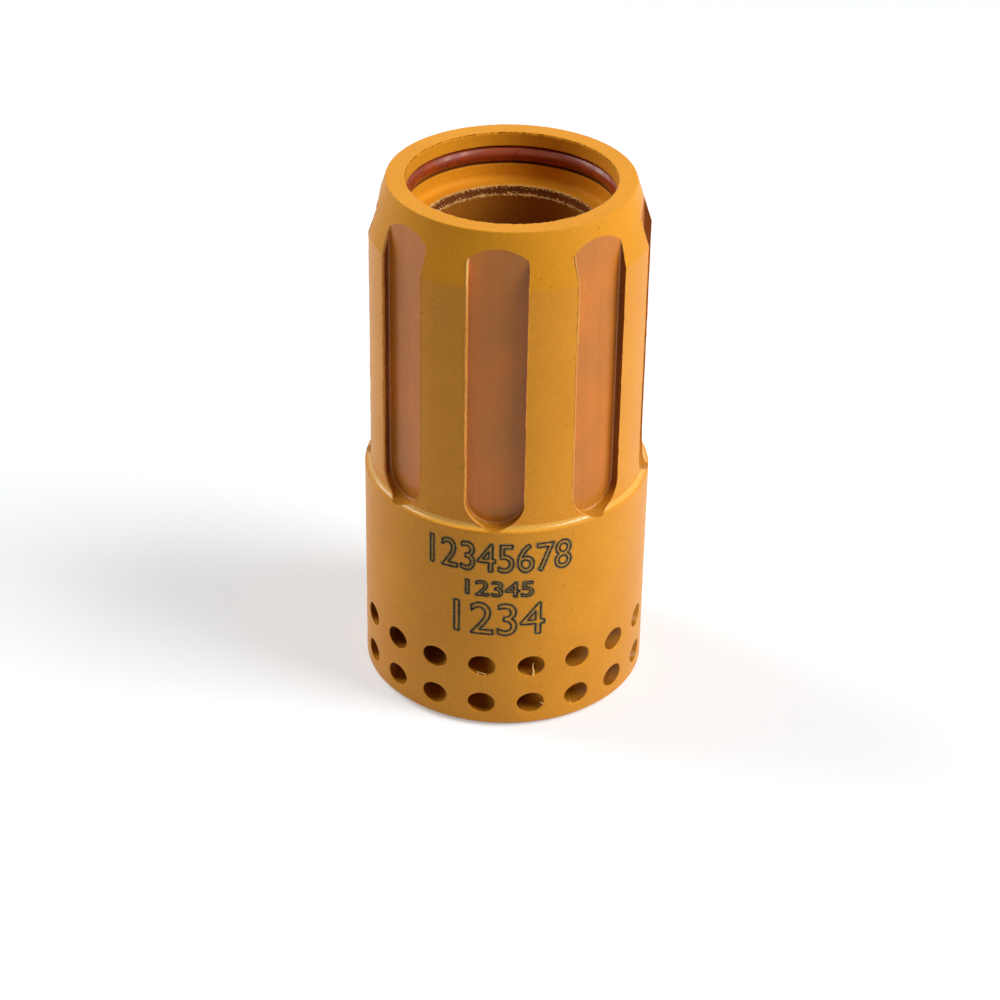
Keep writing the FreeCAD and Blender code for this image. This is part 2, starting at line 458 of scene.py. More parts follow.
@dataclass(frozen=True)
class PlasticFinish:
    """Machined surface of the ring's ochre plastic.

    Attributes:
        name: name of the material.
        colour: main colour.
        drift: colour that it drifts to in patches.
        roughness: roughness, least and most.
        gloss: share of the usual mirror reflection.
        stretch: how the tool marks run, as lumps to a mm along X, Y and Z.
        mark_depth: depth of the tool marks in mm.
        mark_tint: how far the tool marks darken the colour, from 0 to 1.
        grain_depth: depth of the fine grain in mm.
        specks: radius of the largest dark specks in mm.
        low_colour: colour that the surface turns to where it comes down to the shoulder.
        haze: strength of the pale haze at a low angle.
        mottle: how strongly the fine mottle shows, from 0 to 1.
    """

    name: str
    colour: Colour
    drift: Colour
    roughness: Span = (0.4, 0.5)
    gloss: float = 0.3
    stretch: Triple = (0.004, 0.004, 5.0)
    mark_depth: float = 0.001
    mark_tint: float = 0.03
    grain_depth: float = 0.002
    specks: float = 0.10
    low_colour: Colour | None = None
    haze: float = 0.12
    mottle: float = 0.32

    def build(self) -> bpy.types.Material:
        """Build the material.

        Returns:
            The material.
        """
        graph = Graph.of_material(self.name)
        place = graph.place_in_mm()
        colour = graph.blend(PATCHES.shown(graph, place), self.colour, self.drift)
        if self.low_colour is not None:
            height = graph.add("SeparateXYZ", {"Vector": place}).outputs["Z"]
            colour = graph.blend(graph.ramp(height, SHOULDER_ZONE), colour, self.low_colour)
        dark = tuple(MOTTLE_TONE * tone for tone in self.drift)
        colour = graph.blend(MOTTLE.shown(graph, place, (0.0, self.mottle)), colour, dark)
        marks = TOOL_MARKS.value(graph, graph.place_in_mm(self.stretch))
        tint = graph.ramp(marks, TOOL_MARKS.ends, (0.0, self.mark_tint))
        colour = graph.blend(tint, colour, SPECK_COLOUR)
        for layer in SPECKS:
            colour = self.speckle(graph, place, colour, layer)
        grain = GRAIN.value(graph, place)
        shader = graph.add("BsdfPrincipled", {
            "Base Color": colour,
            "Roughness": graph.ramp(grain, GRAIN.ends, self.roughness),
            "Specular IOR Level": self.gloss,
            "Sheen Weight": self.haze,
            "Sheen Roughness": HAZE_ROUGHNESS,
            "Normal": graph.bump(grain, self.grain_depth, graph.bump(marks, self.mark_depth)),
        })
        return graph.close(shader.outputs["BSDF"])

    def speckle(self, graph: Graph, place: Socket, colour: Socket, layer: SpeckLayer) -> Socket:
        """Lay scattered dark specks over a colour.

        Args:
            graph: the material.
            place: place on the ring in mm.
            colour: colour under the specks.
            layer: how the specks lie.

        Returns:
            The colour with its specks.
        """
        cells = graph.cells(place, layer.per_mm)
        luck = graph.add("SeparateColor", {"Color": cells.outputs["Color"]}).outputs["Red"]
        largest = layer.size * self.specks * layer.per_mm
        reach = graph.ramp(luck, (0.0, 1.0), (layer.least * largest, largest))
        depth = graph.maths("SUBTRACT", reach, cells.outputs["Distance"])
        spot = graph.ramp(depth, (0.0, layer.fade * largest), (0.0, layer.strength))
        return graph.blend(spot, colour, SPECK_COLOUR)


@dataclass(frozen=True)
class RubberFinish:
    """Moulded seal rubber, with a film of grease and a little dust.

    Attributes:
        name: name of the material.
        colour: main colour.
        drift: colour of the greasy patches.
        dust: colour of the dust.
        dust_per_mm: specks of dust to a mm.
        dust_edge: distances from a speck's middle, in specks, between which it fades out.
        dust_strength: how strong a speck of dust is.
        roughness: roughness, least and most.
        grease: values of the smear between which the roughness rises.
        gloss: share of the usual mirror reflection.
        ripple_stretch: how the ripples run, as a factor along each axis.
        ripple_depth: depth of the ripples in mm.
    """

    name: str = "seal_rubber"
    colour: Colour = (0.33, 0.050, 0.009)
    drift: Colour = (0.25, 0.034, 0.008)
    dust: Colour = (0.62, 0.36, 0.22)
    dust_per_mm: float = 2.1
    dust_edge: Span = (0.05, 0.1)
    dust_strength: float = 0.6
    roughness: Span = (0.22, 0.42)
    grease: Span = (0.35, 0.65)
    gloss: float = 0.32
    ripple_stretch: Triple = (1.0, 1.0, 5.0)
    ripple_depth: float = 0.006

    def build(self) -> bpy.types.Material:
        """Build the material.

        Returns:
            The material.
        """
        graph = Graph.of_material(self.name)
        place = graph.place_in_mm()
        smear = SMEAR.value(graph, place)
        colour = graph.blend(graph.ramp(smear, SMEAR.ends), self.colour, self.drift)
        middle = graph.cells(place, self.dust_per_mm).outputs["Distance"]
        dusty = graph.ramp(middle, self.dust_edge, (self.dust_strength, 0.0))
        colour = graph.blend(dusty, colour, self.dust)
        ripples = RIPPLES.value(graph, graph.place_in_mm(self.ripple_stretch))
        shader = graph.add("BsdfPrincipled", {
            "Base Color": colour,
            "Roughness": graph.ramp(smear, self.grease, self.roughness),
            "Specular IOR Level": self.gloss,
            "Normal": graph.bump(ripples, self.ripple_depth),
        })
        return graph.close(shader.outputs["BSDF"])


@dataclass(frozen=True)
class CharFinish:
    """Plastic charred or foamed by the marking laser.

    Attributes:
        name: name of the material.
        colour: main colour.
        drift: colour of the patches where the laser bit less.
        roughness: roughness.
        gloss: share of the usual mirror reflection.
        depth: depth of the burnt relief in mm.
    """

    name: str
    colour: Colour
    drift: Colour
    roughness: float = 0.85
    gloss: float = 0.2
    depth: float = 0.01

    def build(self) -> bpy.types.Material:
        """Build the material.

        Returns:
            The material.
        """
        graph = Graph.of_material(self.name)
        burn = BURN.value(graph, graph.place_in_mm())
        shader = graph.add("BsdfPrincipled", {
            "Base Color": graph.blend(graph.ramp(burn, BURN.ends), self.colour, self.drift),
            "Roughness": self.roughness,
            "Specular IOR Level": self.gloss,
            "Normal": graph.bump(burn, self.depth),
        })
        return graph.close(shader.outputs["BSDF"])


PLASTIC = {
    Surface.TURNED: PlasticFinish("ochre_turned", (0.88, 0.350, 0.022), (0.82, 0.32, 0.020), gloss=0.2),
    Surface.NOSE: PlasticFinish("ochre_nose", (0.85, 0.345, 0.018), (0.79, 0.315, 0.016),
                                gloss=0.13, haze=0.07),
    Surface.SEAT: PlasticFinish("ochre_seat", (0.84, 0.345, 0.018), (0.78, 0.31, 0.016),
                                roughness=(0.5, 0.6), gloss=0.07, haze=0.03),
    # Shoulder fillet: low roughness and gloss for its burnish, and a brighter, yellower colour than the
    # turned plastic as a painted highlight
    Surface.BURNISHED_HIGHLIGHT: PlasticFinish("ochre_burnished", (0.93, 0.48, 0.050), (0.88, 0.43, 0.038),
                                     roughness=(0.17, 0.24), gloss=0.55, mark_depth=0.0005,
                                     grain_depth=0.0005, specks=0.05, haze=0.0),
    # Seal groove and inner bores: a much darker brown than the turned plastic, as painted shade in the
    # deep inside
    Surface.BORED_PAINTED_SHADE: PlasticFinish("ochre_bored", (0.42, 0.15, 0.012), (0.36, 0.12, 0.010), gloss=0.2,
                                 mark_depth=0.003, mark_tint=0.10),
    Surface.LIP: PlasticFinish("ochre_torn", (0.20, 0.052, 0.007), (0.13, 0.032, 0.005),
                               roughness=(0.5, 0.8), gloss=0.1, stretch=(3.0, 3.0, 4.0), mark_depth=0.05,
                               mark_tint=0.3, grain_depth=0.02, haze=0.0),
    Surface.MILLED: PlasticFinish("brown_milled", (0.78, 0.222, 0.018), (0.62, 0.200, 0.022),
                                  roughness=(0.24, 0.36), gloss=0.36, stretch=(2.2, 2.2, 0.06),
                                  mark_depth=0.003, mark_tint=0.12, grain_depth=0.0015, haze=0.06,
                                  mottle=0.2, low_colour=(0.62, 0.230, 0.020)),
    # Flute walls: the same milled plastic darkened as painted shade; its lighter low colour near the
    # shoulder is painted light on the up-facing end walls
    Surface.FLANK_PAINTED_SHADE_AND_LIGHT: PlasticFinish("brown_flank", (0.32, 0.100, 0.010), (0.22, 0.064, 0.007),
                                 roughness=(0.3, 0.4), gloss=0.3, stretch=(2.2, 2.2, 0.06),
                                 mark_depth=0.002, mark_tint=0.12, grain_depth=0.001, haze=0.0,
                                 low_colour=(0.66, 0.285, 0.018)),
    Surface.DRILLED: PlasticFinish("brown_drilled", (0.74, 0.31, 0.016), (0.34, 0.112, 0.008),
                                   roughness=(0.24, 0.4), gloss=0.24, stretch=(1.6, 1.6, 2.4),
                                   mark_depth=0.006, mark_tint=0.2, grain_depth=0.004),
    Surface.BURR: PlasticFinish("orange_burr", (0.92, 0.38, 0.040), (0.86, 0.32, 0.028),
                                roughness=(0.25, 0.45), gloss=0.4, stretch=(4.0, 4.0, 4.0),
                                mark_depth=0.01, grain_depth=0.004, specks=0.0),
    # Swarf, crumbs and torn edges: a pale colour, partly the swarf's own and partly a painted glint
    Surface.SWARF_AND_GLINT: PlasticFinish("pale_swarf", (0.95, 0.62, 0.22), (0.88, 0.48, 0.10),
                                 roughness=(0.25, 0.45), gloss=0.5, stretch=(4.0, 4.0, 4.0),
                                 mark_depth=0.01, grain_depth=0.004, specks=0.0),
}


@dataclass(frozen=True)
class Corner:
    """Corner of a turned outline.

    Attributes:
        across: distance from the bore's axis.
        along: height.
        rounding: radius of its arc.
        surface: surface of the run that starts here.
        fray: depth of the chips along it.
        arc: surface of the arc, where it differs.
    """

    across: float
    along: float
    rounding: float
    surface: Surface
    fray: float = 0.0
    arc: Surface | None = None


@dataclass
class TurnedOutline:
    """Closed outline that is spun round the bore's axis.

    Attributes:
        corners: corners, in order.
        longest_run: longest straight stretch between two points.
        edge_steps: steps in a corner that is only broken.
        arc_steps: steps in a corner that is plainly round.
        plain_arc: least radius of a plainly round corner.
        plain_arc: least radius of a plainly round corner.
        calm: width of the still strip that keeps a chipped corner's shading to itself.
        chip_room: how far that strip is from a chipped corner, in depths of its chips.
        points: distance from the bore's axis and height of every point.
        surfaces: surface of the run after every point.
        chips: how far every point moves where the edge is chipped.
    """

    corners: list[Corner]
    longest_run: float = 2.2
    edge_steps: int = 3
    arc_steps: int = 9
    plain_arc: float = 0.2
    calm: float = 0.06
    chip_room: float = 1.3
    points: list[Span] = field(default_factory=list)
    surfaces: list[Surface] = field(default_factory=list)
    chips: list[Span] = field(default_factory=list)

    def __post_init__(self) -> None:
        """Work out the points."""
        count = len(self.corners)
        places = [np.array([corner.across, corner.along]) for corner in self.corners]
        for i, corner in enumerate(self.corners):
            before, after = places[i - 1], places[(i + 1) % count]
            arc, centre = self.round_off(before, places[i], after, corner.rounding)
            arc_surface = corner.surface if corner.arc is None else corner.arc
            for number, point in enumerate(arc):
                inward = (centre - point) / max(corner.rounding, TINY) * corner.fray
                self.add(point, corner.surface if number == len(arc) - 1 else arc_surface, inward)
            following = self.corners[(i + 1) % count]
            beyond = places[(i + 2) % count]
            next_arc, _ = self.round_off(places[i], after, beyond, following.rounding)
            self.fill_run(arc[-1], next_arc[0], corner, following)

    def add(self, point: np.ndarray, surface: Surface, chip: np.ndarray) -> None:
        """Add a point.

        Args:
            point: the point.
            surface: surface of the run after it.
            chip: how far it moves where the edge is chipped.
        """
        self.points.append((float(point[0]), float(point[1])))
        self.surfaces.append(surface)
        self.chips.append((float(chip[0]), float(chip[1])))

    def round_off(self, before: np.ndarray, corner: np.ndarray, after: np.ndarray,
                  radius: float) -> tuple[list[np.ndarray], np.ndarray]:
        """Round a corner.

        Args:
            before: corner before it.
            corner: the corner.
            after: corner after it.
            radius: radius of the arc.

        Returns:
            Points of the arc, and its centre.
        """
        heading_in = (corner - before) / np.linalg.norm(corner - before)
        heading_out = (after - corner) / np.linalg.norm(after - corner)
        turn = math.atan2(heading_in[0] * heading_out[1] - heading_in[1] * heading_out[0],
                          float(heading_in @ heading_out))
        setback = radius * math.tan(abs(turn) / 2.0)
        side = math.copysign(1.0, turn)
        start = corner - heading_in * setback
        centre = start + side * radius * np.array([-heading_in[1], heading_in[0]])
        spoke = start - centre
        steps = self.arc_steps if radius > self.plain_arc else self.edge_steps
        arc = []
        for step in range(steps + 1):
            angle = turn * step / steps
            cosine, sine = math.cos(angle), math.sin(angle)
            arc.append(centre + np.array([cosine * spoke[0] - sine * spoke[1],
                                          sine * spoke[0] + cosine * spoke[1]]))
        return arc, centre

    def fill_run(self, start: np.ndarray, end: np.ndarray, corner: Corner, following: Corner) -> None:
        """Divide a straight run so that no stretch is too long, and hold it still beside chipped corners.

        Args:
            start: first point of the run.
            end: last point of the run.
            corner: corner that the run leaves.
            following: corner that it comes to.
        """
        length = float(np.linalg.norm(end - start))
        first, last = self.chip_room * corner.fray, length - self.chip_room * following.fray
        steps = max(1, math.ceil((last - first) / self.longest_run))
        stations = [first + (last - first) * step / steps for step in range(steps + 1)]
        if corner.fray:
            stations.insert(1, first + self.calm)
        if following.fray:
            stations.insert(-1, last - self.calm)
        for station in stations:
            if TINY < station < length - TINY:
                self.add(start + (end - start) * station / length, corner.surface, np.zeros(2))

    def spin(self, draft: MeshDraft, segments: int, chipping: np.ndarray) -> None:
        """Add the spun outline to a draft.

        Args:
            draft: the draft.
            segments: number of steps round the axis.
            chipping: how far each step is chipped, from 0 to 1.
        """
        outline, chips = np.array(self.points), np.array(self.chips)
        moved = outline[None, :, :] + chips[None, :, :] * chipping[:, None, None]
        angles = np.arange(segments) * FULL_TURN / segments
        rows = np.stack([moved[:, :, 0] * np.cos(angles)[:, None],
                         moved[:, :, 0] * np.sin(angles)[:, None], moved[:, :, 1]], axis=2)
        draft.add_grid(rows, self.surfaces, around=True, along=True)


@dataclass(frozen=True)
class RingSizes:
    """Sizes of the ring in mm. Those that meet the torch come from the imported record.

    Attributes:
        length: whole length.
        skirt: outer radius of the skirt.
        seat: radius of the seat bore at the mouth.
        bore: radius of the electrode bore.
        nozzle: radius of the nozzle bore at the foot.
        nozzle_ledge: height of the ledge over the nozzle bore.
        skirt_height: height of the skirt.
        shoulder_step: step in from the skirt to the barrel.
        shoulder_radius: radius of the shoulder's fillet.
        taper_length: height of the tapered nose.
        taper_run: how far the nose tapers in.
        seat_depth: depth of the seat bore from the rim.
        seat_corner_radius: radius of the corner at its bottom.
        lip_step: how far the sloping lip opens out from the electrode bore.
        lip_depth: height of the lip.
        groove_below_rim: depth of the seal groove's upper side from the rim.
        groove_width: height of the seal groove.
        groove_depth: how far it goes into the wall.
        foot_chamfer: chamfer at the foot's outer edge.
        nozzle_chamfer: chamfer at the nozzle bore's mouth.
        edge_break: radius of a broken edge.
    """

    length: float
    skirt: float
    seat: float
    bore: float
    nozzle: float
    nozzle_ledge: float
    skirt_height: float = 19.4
    shoulder_step: float = 0.5
    shoulder_radius: float = 0.4
    taper_length: float = 4.4
    taper_run: float = 1.4
    seat_depth: float = 4.25
    seat_corner_radius: float = 0.5
    lip_step: float = 0.26
    lip_depth: float = 0.7
    groove_below_rim: float = 1.26
    groove_width: float = 1.56
    groove_depth: float = 1.3
    foot_chamfer: float = 0.45
    nozzle_chamfer: float = 0.3
    edge_break: float = 0.06

    @classmethod
    def from_frame(cls) -> "RingSizes":
        """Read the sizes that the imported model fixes.

        Returns:
            The sizes.
        """
        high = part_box("swirl_ring_body")[1] * METRES_TO_MM
        mounts = {mount["name"]: mount for mount in frame["record"]["mounts"]}
        return cls(length=high.z, skirt=high.x - ROOM_FOR_BURRS,
                   seat=mounts["seat_bore"]["dims"]["r_mm"],
                   bore=mounts["electrode_bore"]["dims"]["r_mm"],
                   nozzle=mounts["nozzle_bore"]["dims"]["r_mm"],
                   nozzle_ledge=mounts["nozzle_ledge"]["pos_m"][2] * METRES_TO_MM)

    @property
    def barrel(self) -> float:
        """Outer radius of the barrel."""
        return self.skirt - self.shoulder_step

    @property
    def taper_start(self) -> float:
        """Height at which the nose starts to taper."""
        return self.length - self.taper_length

    @property
    def ledge(self) -> float:
        """Height of the ledge at the bottom of the seat bore."""
        return self.length - self.seat_depth

    def outer_radius(self, height: float) -> float:
        """Work out the radius of the barrel, its shoulder fillet or the nose.

        Args:
            height: height above the shoulder.

        Returns:
            The radius there.
        """
        if height > self.taper_start:
            return self.barrel - self.taper_run * (height - self.taper_start) / self.taper_length
        below = self.skirt_height + self.shoulder_radius - height
        if below <= 0.0:
            return self.barrel
        return self.barrel + self.shoulder_radius - math.sqrt(max(self.shoulder_radius**2 - below**2, 0.0))


@dataclass(frozen=True)
class Flutes:
    """Cooling flutes, milled down the barrel with a corner-rounded cutter.

    Attributes:
        sizes: sizes of the ring.
        count: number of flutes.
        width: width of the cutter.
        floor: distance of the flute's floor from the bore's axis.
        corner_radius: radius of the cutter's corner.
        end_centre: height of the centre of the round lower end.
        corner_steps: steps in the cutter's corner.
        end_steps: steps in the round lower end.
        overshoot: how far the cutter reaches past the rim and the skirt.
        edge_start: angle on the corner's arc at which the traced edge starts, in degrees.
        edge_start_steps: steps of the traced edge on that arc.
        edge_step: distance between other points of the traced edge.
        shoulder_gap: height over the shoulder at which the traced edge ends.
    """

    sizes: RingSizes
    count: int = 8
    width: float = 4.9
    floor: float = 10.5
    corner_radius: float = 0.2
    end_centre: float = 21.8
    corner_steps: int = 7
    end_steps: int = 40
    overshoot: float = 1.0
    edge_start: float = 60.0
    edge_start_steps: int = 4
    edge_step: float = 0.12
    shoulder_gap: float = 0.03

    def azimuths(self) -> list[float]:
        """List the azimuth of every flute's middle."""
        return [FULL_TURN_DEGREES * number / self.count for number in range(self.count)]

    def draw(self, draft: MeshDraft) -> None:
        """Add the swept volume of the cutter at every flute to a draft."""
        for azimuth in self.azimuths():
            self.add_sweep(draft, azimuth)

    def profile(self) -> np.ndarray:
        """Draw half of the cutter's profile.

        Returns:
            Points of it, as the distance from its own axis and from the bore's axis.
        """
        centre = np.array([self.width / 2 - self.corner_radius, self.floor + self.corner_radius])
        angles = np.linspace(-math.pi / 2, 0.0, self.corner_steps + 1)
        arc = centre + self.corner_radius * np.stack([np.cos(angles), np.sin(angles)], axis=1)
        end = [self.width / 2, self.sizes.skirt + self.overshoot]
        return np.concatenate([[[0.0, self.floor]], arc, [end]])

    def add_sweep(self, draft: MeshDraft, azimuth: float) -> None:
        """Add one flute's volume to a draft.

        Args:
            draft: the draft.
            azimuth: azimuth of the flute's middle.
        """
        profile = self.profile()
        top = self.sizes.length + self.overshoot
        across, out = direction(azimuth + QUARTER_TURN_DEGREES), direction(azimuth)
        stations = [(top, 0.0)]
        stations += [(self.end_centre, turn) for turn in np.linspace(0.0, math.pi, self.end_steps + 1)]
        stations += [(top, math.pi)]
        rows = np.array([[(across * math.cos(turn) - UP * math.sin(turn)) * reach
                          + out * depth + UP * height for reach, depth in profile]
                         for height, turn in stations])
        # The wall and the upper part of each corner take the flank finish, whose dark colour is painted
        # shade
        wall_strips = self.corner_steps // 2 + 1
        surfaces = [Surface.MILLED] * (len(profile) - 1 - wall_strips) + [Surface.FLANK_PAINTED_SHADE_AND_LIGHT] * wall_strips
        numbers = draft.add_grid(rows, surfaces, around=False, along=False)
        draft.add_face([*numbers[0], *numbers[-1][:0:-1]], Surface.MILLED)
        draft.add_face(list(numbers[:, -1]), Surface.MILLED)

    def vanishing_height(self, reach: float, depth: float) -> float:
        """Work out the height at which the nose's cone passes a point of the profile.

        Args:
            reach: distance of the point from the flute's middle.
            depth: distance of the point from the bore's axis.

        Returns:
            The height.
        """
        sizes = self.sizes
        past_rim = math.hypot(reach, depth) - sizes.outer_radius(sizes.length)
        return sizes.length - sizes.taper_length * past_rim / sizes.taper_run

    def edge(self, azimuth: float, side: float) -> np.ndarray:
        """Trace a flute's edge from the nose down to the shoulder.

        Args:
            azimuth: azimuth of the flute's middle.
            side: -1 for the edge at its lower azimuth, 1 for the other.

        Returns:
            Points of the edge.
        """
        half, radius = self.width / 2, self.corner_radius
        across, out = direction(azimuth + QUARTER_TURN_DEGREES), direction(azimuth)
        stations = []
        for turn in np.linspace(math.radians(self.edge_start), 0.0, self.edge_start_steps + 1)[:-1]:
            reach = half - radius * (1.0 - math.cos(turn))
            depth = self.floor + radius * (1.0 - math.sin(turn))
            stations.append((reach, self.vanishing_height(reach, depth)))
        vanish = self.vanishing_height(half, self.floor + radius)
        stations += [(half, height) for height in np.arange(vanish, self.end_centre, -self.edge_step)]
        for turn in np.arange(0.0, math.pi / 2, self.edge_step / half):
            height = self.end_centre - half * math.sin(turn)
            if height > self.sizes.skirt_height + self.shoulder_gap:
                stations.append((half * math.cos(turn), height))
        return np.array([across * side * reach
                         + out * math.sqrt(self.sizes.outer_radius(height)**2 - reach**2)
                         + UP * height for reach, height in stations])


@dataclass(frozen=True)
class GasPorts:
    """Two rows of slanted gas ports through the skirt.

    Attributes:
        sizes: sizes of the ring.
        per_row: number of ports in a row.
        radius: radius of the drill.
        slant: angle of a port's axis from the radius through its mouth, in degrees.
        first_mouth: azimuth of one mouth.
        heights: heights of the rows.
        mouth_break: how far the mouth's edge is broken.
        sides: sides of a port.
        break_steps: steps in the mouth's broken edge.
        inner_overshoot: how far the drill reaches past the skirt's inner wall.
        outer_overshoot: how far it reaches past the outer wall.
    """

    sizes: RingSizes
    per_row: int = 18
    radius: float = 0.975
    slant: float = 32.0
    first_mouth: float = -23.55
    heights: Span = (2.35, 6.1)
    mouth_break: float = 0.06
    sides: int = 56
    break_steps: int = 4
    inner_overshoot: float = 0.3
    outer_overshoot: float = 0.6

    def ring(self, azimuth: float, height: float, radius: float, wall: float) -> np.ndarray:
        """Trace where a port of some radius passes through a round wall.

        Args:
            azimuth: azimuth of the port's mouth on the skirt.
            height: height of the port's axis.
            radius: radius of the port there.
            wall: radius of the wall.

        Returns:
            Points of the closed curve.
        """
        along = direction(azimuth + self.slant)
        beside = direction(azimuth + self.slant - QUARTER_TURN_DEGREES)
        angles = np.arange(self.sides) * FULL_TURN / self.sides
        aside = self.sizes.skirt * math.sin(math.radians(self.slant)) + radius * np.cos(angles)
        inward = np.sqrt(wall**2 - aside**2)
        return (aside[:, None] * beside + inward[:, None] * along
                + (height + radius * np.sin(angles))[:, None] * UP)

    def mouths(self) -> list[Span]:
        """List the azimuth and height of every mouth."""
        return [(self.first_mouth + FULL_TURN_DEGREES * number / self.per_row, height)
                for height in self.heights for number in range(self.per_row)]

    def draw(self, draft: MeshDraft) -> None:
        """Add the drilled volume of every port to a draft."""
        for azimuth, height in self.mouths():
            self.add_hole(draft, azimuth, height)

    def add_hole(self, draft: MeshDraft, azimuth: float, height: float) -> None:
        """Add one port's volume, with its broken edges, to a draft.

        Args:
            draft: the draft.
            azimuth: azimuth of the port's mouth.
            height: height of the port's axis.
        """
        skirt, nozzle, edge = self.sizes.skirt, self.sizes.nozzle, self.mouth_break
        inner_edge = edge / 2
        stations = [(self.radius + inner_edge, nozzle - self.inner_overshoot),
                    (self.radius + inner_edge, nozzle),
                    (self.radius, nozzle + inner_edge)]
        for turn in np.linspace(0.0, math.pi / 2, self.break_steps + 1):
            radius = self.radius + edge * (1.0 - math.cos(turn))
            stations.append((radius, skirt - edge * (1.0 - math.sin(turn))))
        stations.append((self.radius + edge, skirt + self.outer_overshoot))
        surfaces = [Surface.TURNED, Surface.TURNED, Surface.DRILLED]
        surfaces += [Surface.TURNED] * (len(stations) - 1 - len(surfaces))
        rows = np.array([self.ring(azimuth, height, radius, wall) for radius, wall in stations])
        numbers = draft.add_grid(rows.transpose(1, 0, 2), surfaces, around=True, along=False)
        draft.add_face(list(numbers[:, 0]), Surface.DRILLED)
        draft.add_face(list(numbers[::-1, -1]), Surface.DRILLED)


@dataclass(frozen=True)
class Sliver:
    """Sliver of swarf that hangs in a port's mouth.

    Attributes:
        port: number of the port.
        start: where on the mouth it grows, in degrees up from the mouth's lower-azimuth side.
        length: how high it rises.
        lean: how far its tip lies towards higher azimuths.
        curl: how far it sways on the way.
        root: radius of its root.
    """

    port: int
    start: float
    length: float
    lean: float
    curl: float
    root: float


@dataclass(frozen=True)
class FluteBurrs:
    """Burrs along both edges of every flute, with a pale feather at the top of the thicker one.

    Attributes:
        flutes: the flutes.
        climb_side: side of a flute on which the cutter leaves the thicker burr.
        thick: least and most radius of the thicker burr.
        thin: least and most radius of the thinner burr.
        swelling: how a burr's radius varies.
        wander: how far the burrs stray sideways from the edge.
        straying: how they stray.
        end_points: points over which a burr thins out at either end.
        end_share: share of its radius that is left there.
        sink: how deep the middle of the thicker burr lies.
        feather: radius of the feather.
        feather_points: points in the feather.
        feather_shift: how far it lies towards the flute's middle, in radii of the burr.
        feather_end: share of its radius that is left at its lower end.
    """

    flutes: Flutes
    climb_side: float = -1.0
    thick: Span = (0.125, 0.170)
    thin: Span = (0.010, 0.055)
    swelling: Unevenness = Unevenness(lumps=26, seed=20, sharpness=1.6)
    wander: float = 0.035
    straying: Unevenness = Unevenness(lumps=34, seed=60)
    end_points: int = 4
    end_share: float = 0.3
    sink: float = 0.100
    feather: float = 0.080
    feather_points: int = 34
    feather_shift: float = 0.3
    feather_end: float = 0.2

    def draw(self, draft: MeshDraft) -> None:
        """Add the burrs to a draft.

        Args:
            draft: the draft.
        """
        for number, azimuth in enumerate(self.flutes.azimuths()):
            self.add_burr(draft, azimuth, -1.0, 2 * number)
            self.add_burr(draft, azimuth, 1.0, 2 * number + 1)

    def add_burr(self, draft: MeshDraft, azimuth: float, side: float, number: int) -> None:
        """Add the burr of one edge to a draft.

        Args:
            draft: the draft.
            azimuth: azimuth of the flute's middle.
            side: side of the flute, as for its edge.
            number: number of the edge.
        """
        path = self.flutes.edge(azimuth, side)
        least, most = self.thick if side == self.climb_side else self.thin
        radii = least + (most - least) * self.swelling.draw(len(path), number)
        radii[:self.end_points] *= np.linspace(self.end_share, 1.0, self.end_points)
        radii[-self.end_points:] *= np.linspace(1.0, self.end_share, self.end_points)
        stray = self.straying.draw(len(path), number) - 0.5
        aside = direction(azimuth + QUARTER_TURN_DEGREES)
        path += 2.0 * self.wander * stray[:, None] * aside
        if side == self.climb_side:
            outward = unit(path * LEVEL)
            path = path - self.sink * outward
            count = self.feather_points
            tip = path[:count] - radii[:count, None] * aside * side * self.feather_shift
            tip = tip + self.sink * unit(tip * LEVEL)
            fade = np.linspace(1.0, self.feather_end, count)
            draft.add_bead(tip, self.feather * fade, Surface.SWARF_AND_GLINT, closed=False)
        draft.add_bead(path, radii, Surface.BURR, closed=False)


